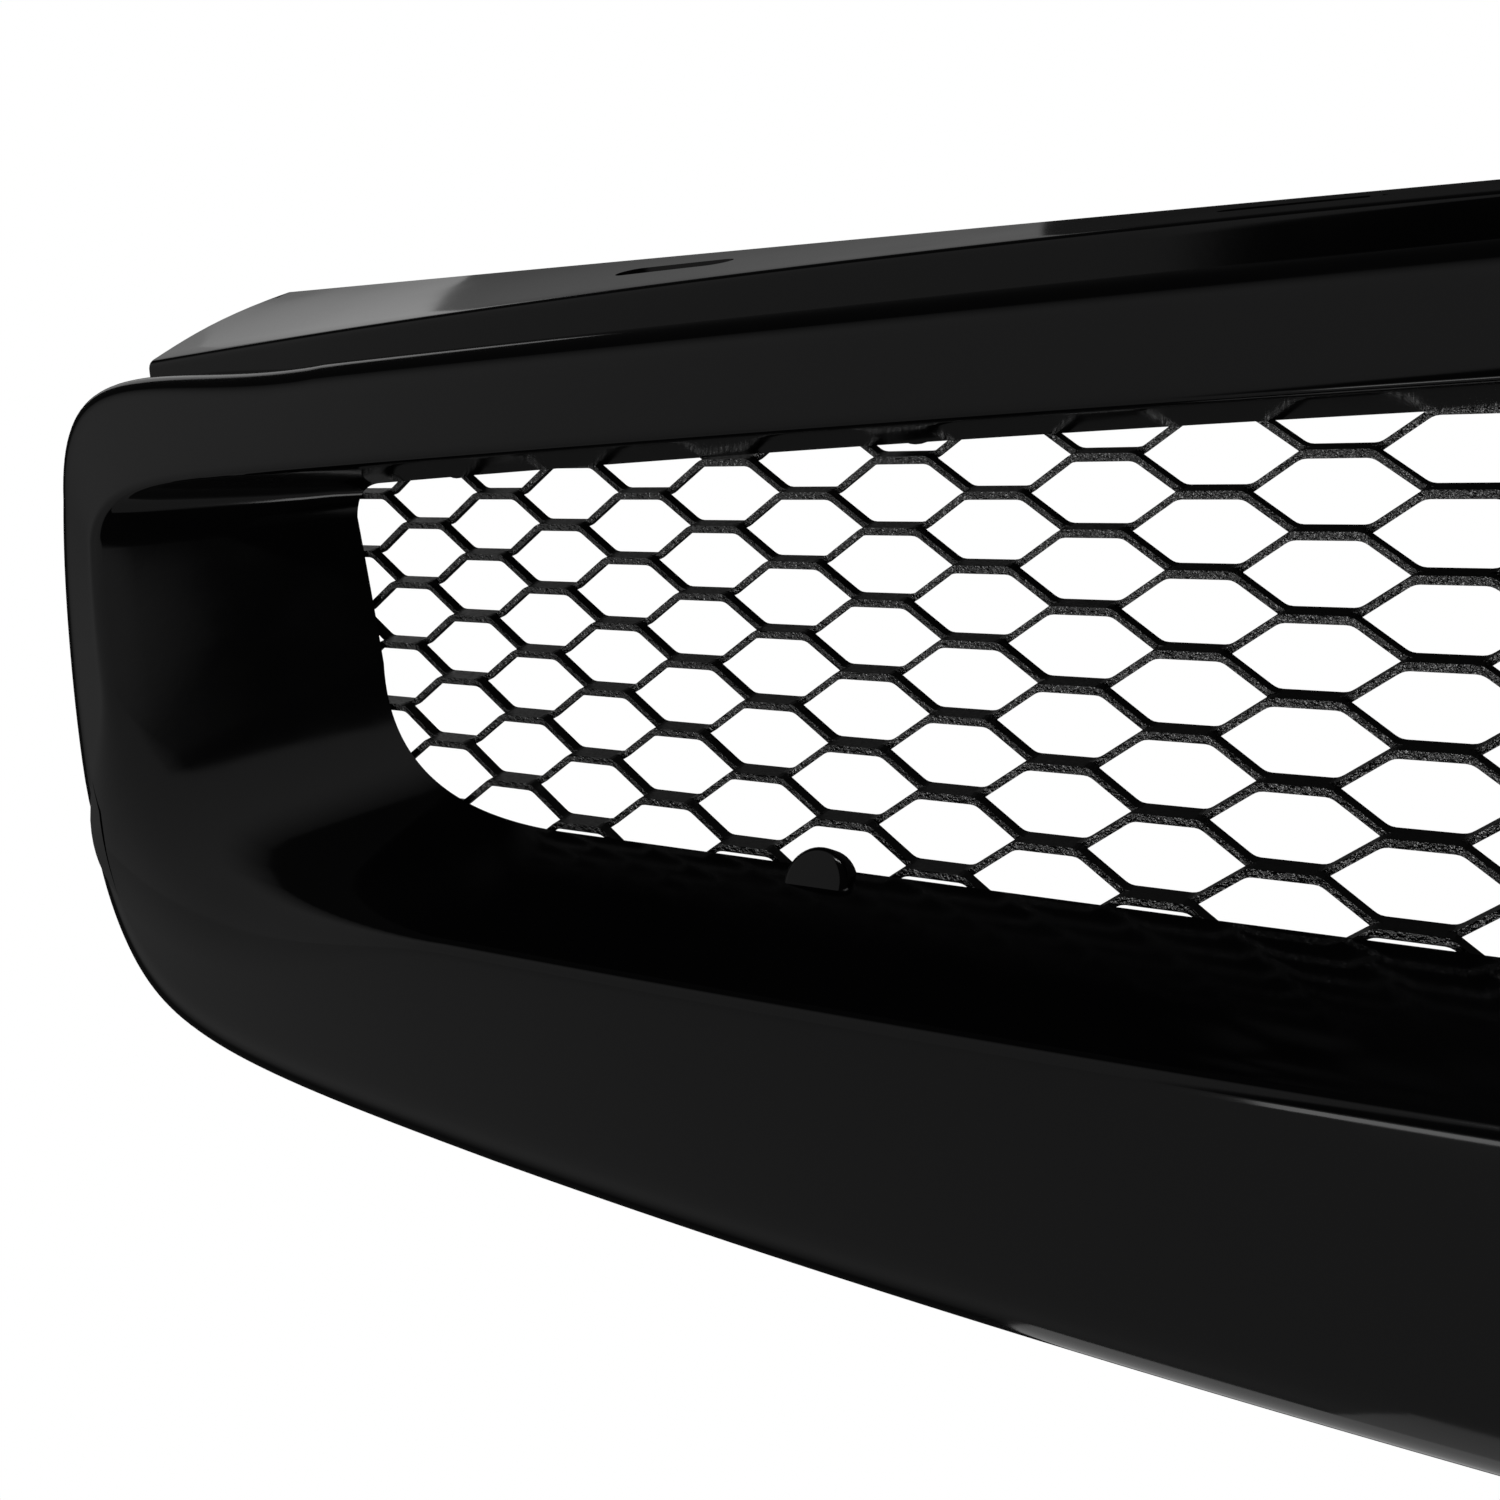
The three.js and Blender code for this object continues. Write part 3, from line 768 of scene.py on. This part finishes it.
def tongue():
    look = tabLook
    bpy.ops.object.select_all(action="DESELECT")
    bpy.ops.mesh.primitive_cube_add(size=1, location=(0, 0, 0))
    piece = bpy.context.object
    for vertex in piece.data.vertices:
        x, y, z = vertex.co
        vertex.co = (x * look["width"] * mm,
                     (look["length"] if y > 0 else -look["root"]) * mm,
                     (look["thickness"] if z > 0 else 0) * mm)
    bpy.ops.object.mode_set(mode="EDIT")
    mesh = bmesh.from_edit_mesh(piece.data)
    for edge in mesh.edges:
        first, second = (vertex.co for vertex in edge.verts)
        edge.select = min(first.y, second.y) > 0 and abs(first.x - second.x) < 1e-7 \
            and abs(first.z - second.z) > 1e-7
    mesh.select_flush(True)
    bmesh.update_edit_mesh(piece.data)
    bpy.ops.mesh.bevel(offset=look["corner"] * mm, segments=look["cornerSteps"])
    bpy.ops.object.mode_set(mode="OBJECT")
    bpy.ops.object.select_all(action="DESELECT")
    bpy.ops.mesh.primitive_cylinder_add(vertices=32, radius=look["hole"] * mm, depth=look["cutDepth"] * mm,
                                        location=(0, look["length"] / 2 * mm, 0))
    settle(bpy.context.object)
    applyBoolean(piece, bpy.context.object, "DIFFERENCE")
    return piece


def lowerTab(x):
    controls = rings["crown"]["bottomEdge"]
    z = onCurve(controls, 1 + abs(x) / controls[0][0]).y
    inset = (surroundLook["wall"] - tabLook["thickness"]) / 2
    piece = tongue()
    where = place(x, crownY(x, z) + surroundLook["returnDepth"], z + surroundLook["returnDraft"] + inset)
    piece.data.transform(Matrix.Translation(where))
    return piece


def sideEar(side):
    look = surroundLook
    controls = rings["crown"]["side"]
    p = onCurve(controls, tabLook["earPosition"])
    along = tangentOn(controls, tabLook["earPosition"])
    outwards = Vector((-along.y * side, 0, -along.x))
    rearwards = Vector((0, 1, 0))
    sideways = rearwards.cross(outwards)
    inset = look["returnDraft"] + look["wall"] - (look["wall"] - tabLook["thickness"]) / 2
    where = place(-side * p.x, crownY(p.x, p.y) + look["returnDepth"], p.y) - outwards * inset * mm
    turn = Matrix((sideways, rearwards, outwards)).transposed().to_4x4()
    piece = tongue()
    piece.data.transform(Matrix.Translation(where) @ turn)
    return piece


def makeSurround():
    stations = surroundLook["stations"]
    outlines = [wholeRing(rings[name], stations) for name in ("opening", "front", "crown")]
    sections = [surroundSection(*points) for points in zip(*outlines)]
    body = loftedSkin("surround_shell", sections, True)
    steps = flangeLook["steps"]
    stops = [flangeLook["halfWidth"] * (2 * i / steps - 1) for i in range(steps + 1)]
    applyBoolean(body, loftedSkin("flange", [flangeSection(x) for x in stops], False), "UNION")
    additions = [boss(spot) for spot in bossPlaces]
    additions += [lowerTab(side * x) for x in tabLook["places"] for side in (-1, 1)]
    additions += [sideEar(-1), sideEar(1)]
    applyBoolean(body, joined(additions), "UNION")
    applyBoolean(body, joined([lug(-1), lug(1)]), "UNION")
    cutters = [slotTool(side * x) for x in flangeLook["slotPlaces"] for side in (-1, 1)]
    cutters += [pilot(spot) for spot in bossPlaces]
    applyBoolean(body, joined(cutters), "DIFFERENCE")
    settle(body)
    # the fine curves bulge a few hundredths of a millimetre past the coarser part
    for vertex in body.data.vertices:
        vertex.co = [min(max(value, low), high)
                     for value, low, high in zip(vertex.co, surroundLow, surroundHigh)]
    bpy.ops.object.shade_smooth_by_angle(angle=surroundLook["smoothAngle"])
    body.data.materials.clear()
    body.data.materials.append(materials["gloss_abs"])
    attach(body, "root")
    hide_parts("surround")
    return body


makeSurround()
print("surround done")

# mesh sheet

meshLook = {
    "longPitch": 25,
    "shortPitch": 8.5,
    "strandWidth": 1.45,
    "thickness": 0.92,
    "tilt": math.radians(58),
    "bondLength": 6.0,
    "bend": 0.34,  # part of a half strand that curves away from the bond
    "overlap": 11.2,
    "columns": 24,
    "rows": 10,
    "cutDepth": 5,
    "stations": {"topEdge": 12, "upperCorner": 6, "side": 6, "lowerCorner": 8, "bottomEdge": 12},
}


def bondUnit():
    # one bond with half of each of its four strands, in the sheet's flat coordinates
    look = meshLook
    w = look["strandWidth"]
    lean = look["tilt"]
    across = Vector((0, math.cos(lean), -math.sin(lean)))
    through = Vector((0, math.sin(lean), math.cos(lean)))
    bpy.ops.object.select_all(action="DESELECT")
    bpy.ops.mesh.primitive_cube_add(size=1)
    unit = bpy.context.object
    for vertex in unit.data.vertices:
        x, y, z = vertex.co
        vertex.co = Vector((x * look["bondLength"], 0, 0)) + across * (y * 2 * w) \
            + through * (z * look["thickness"])
    bpy.ops.object.mode_set(mode="EDIT")
    bpy.ops.mesh.select_all(action="SELECT")
    bpy.ops.mesh.bisect(plane_co=(0, 0, 0), plane_no=across)
    bpy.ops.mesh.select_mode(type="FACE")
    rise = look["shortPitch"] / 4
    run = look["longPitch"] / 4 - look["bondLength"] / 2
    for side in (-1, 1):
        for level in (-1, 1):
            mesh = bmesh.from_edit_mesh(unit.data)
            mesh.normal_update()
            for face in mesh.faces:
                centre = face.calc_center_median()
                face.select = centre.x * side > look["bondLength"] * 0.499 \
                    and centre.dot(across) * level > 0 and face.normal.x * side > 0.9
            mesh.select_flush_mode()
            bmesh.update_edit_mesh(unit.data)
            last = Vector((0, 0, 0))
            bend = look["bend"]
            for part in (bend * 0.4, bend * 0.7, bend, 1.0):
                climbed = part * part / (2 * bend) if part <= bend else part - bend / 2
                climbed /= 1 - bend / 2
                here = Vector((side * run * part, level * rise * climbed, 0)) \
                    - across * (level * w / 2 * climbed)
                bpy.ops.mesh.extrude_region_move(TRANSFORM_OT_translate={"value": here - last})
                last = here
            bpy.ops.mesh.delete(type="ONLY_FACE")
    bpy.ops.object.mode_set(mode="OBJECT")
    return unit


def sheetOutline():
    flat = [Vector((p.x, p.y / math.cos(rake)))
            for p in wholeRing(rings["opening"], meshLook["stations"])]
    pushed = []
    for i, p in enumerate(flat):
        along = (flat[(i + 1) % len(flat)] - flat[i - 1]).normalized()
        pushed.append(Vector((p.x + along.y * meshLook["overlap"], p.y - along.x * meshLook["overlap"])))
    return pushed


def outlinePrism(points, depth):
    bpy.ops.object.select_all(action="DESELECT")
    bpy.ops.mesh.primitive_circle_add(vertices=len(points), fill_type="NGON")
    prism = bpy.context.object
    for vertex, point in zip(prism.data.vertices, reversed(points)):
        vertex.co = (point.x, point.y, -depth)
    bpy.ops.object.mode_set(mode="EDIT")
    bpy.ops.mesh.select_all(action="SELECT")
    bpy.ops.mesh.extrude_region_move(TRANSFORM_OT_translate={"value": (0, 0, 2 * depth)})
    bpy.ops.mesh.select_all(action="SELECT")
    bpy.ops.mesh.normals_make_consistent(inside=False)
    bpy.ops.object.mode_set(mode="OBJECT")
    return prism


def makeSheet():
    look = meshLook
    unit = bondUnit()
    copies = []
    stepX = look["longPitch"] / 2
    stepT = look["shortPitch"] / 2
    for i in range(-look["columns"], look["columns"] + 1):
        for j in range(-look["rows"], look["rows"] + 1):
            if (i + j) % 2 == 0:
                copies.append((i * stepX, j * stepT))
    source = bmesh.new()
    source.from_mesh(unit.data)
    sheet = bmesh.new()
    for x, t in copies:
        fresh = [sheet.verts.new(v.co + Vector((x, t, 0))) for v in source.verts]
        for face in source.faces:
            sheet.faces.new([fresh[v.index] for v in face.verts])
    bmesh.ops.remove_doubles(sheet, verts=sheet.verts, dist=1e-3)
    bmesh.ops.holes_fill(sheet, edges=[e for e in sheet.edges if e.is_boundary], sides=4)
    bmesh.ops.recalc_face_normals(sheet, faces=sheet.faces)
    sheet.to_mesh(unit.data)
    unit.name = "mesh_sheet_strands"
    applyBoolean(unit, outlinePrism(sheetOutline(), look["cutDepth"]), "INTERSECT")
    lean = Matrix.Rotation(math.pi / 2 - rake, 4, "X")
    for vertex in unit.data.vertices:
        p = lean @ vertex.co
        vertex.co = place(p.x, p.y + bow(p.x), p.z)
    unit.data.materials.clear()
    unit.data.materials.append(materials["coated_mesh"])
    unit.data.materials.append(materials["sheared_edge"])
    down = Vector((0, -math.sin(meshLook["tilt"] + rake), -math.cos(meshLook["tilt"] + rake)))
    for face in unit.data.polygons:
        face.material_index = 1 if abs(face.normal.dot(down)) > 0.8 else 0
    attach(unit, "root")
    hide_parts("mesh_sheet")
    return unit


makeSheet()
print("mesh sheet done")

# fasteners

fastenerLook = {
    "shankRadius": 1.45,
    "screwLength": 8,
    "screwPoint": 2,
    "headRadius": 2.8,
    "headHeight": 2.2,
    "washerRadius": 4,
    "washerThickness": 1,
    "recessWidth": 0.8,
    "recessSpan": 3.4,
    "recessDepth": 1.6,
    "headSide": 0.6,
    "segments": 24,
    "washerSegments": 32,
}
washerFront = surroundLook["sheetDepth"] / 2 + surroundLook["gap"]
headFront = washerFront + fastenerLook["washerThickness"] + surroundLook["gap"]


def makeWasher(number, spot):
    look = fastenerLook
    bore = look["shankRadius"] + surroundLook["gap"]
    r = look["washerRadius"]
    rear = washerFront + look["washerThickness"]
    profile = [(bore, washerFront), (r - 0.2, washerFront), (r, washerFront + 0.2),
               (r, rear - 0.3), (r - 0.3, rear), (bore + 0.1, rear), (bore, rear - 0.1)]
    piece = turnedPiece(f"washer_{number}", profile, look["washerSegments"])
    piece.data.transform(sheetFrame(*spot))
    finishFastener(piece, f"mesh_washer_{number}")


def makeScrew(number, spot):
    look = fastenerLook
    tip = headFront - look["screwLength"]
    r = look["headRadius"]
    top = headFront + look["headHeight"]
    profile = [(0, tip), (look["shankRadius"], tip + look["screwPoint"]), (look["shankRadius"], headFront),
               (r, headFront), (r, headFront + look["headSide"])]
    crown = look["headHeight"] - look["headSide"]
    profile += [(r * math.cos(a), headFront + look["headSide"] + crown * math.sin(a))
                for a in [math.radians(d) for d in (20, 40, 60, 75)]]
    profile.append((0, top))
    piece = turnedPiece(f"screw_{number}", profile, look["segments"])
    bpy.ops.object.select_all(action="DESELECT")
    for turn in (0, math.pi / 2):
        bpy.ops.mesh.primitive_cube_add(size=1)
        blade = bpy.context.object
        size = (look["recessSpan"], look["recessWidth"], look["recessDepth"])
        blade.data.transform(Matrix.Diagonal([side * mm for side in size] + [1]))
        blade.data.transform(Matrix.Translation((0, 0, top * mm)) @ Matrix.Rotation(turn, 4, "Z"))
        applyBoolean(piece, blade, "DIFFERENCE")
    piece.data.transform(sheetFrame(*spot))
    finishFastener(piece, f"mesh_screw_{number}")


def finishFastener(piece, node):
    settle(piece)
    bpy.ops.object.shade_smooth_by_angle(angle=math.radians(30))
    piece.data.materials.clear()
    piece.data.materials.append(materials["black_zinc_steel"])
    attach(piece, "root")
    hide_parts(node)


for index, spot in enumerate(bossPlaces):
    makeWasher(f"{index + 1:02d}", spot)
    makeScrew(f"{index + 1:02d}", spot)
print("fasteners done")
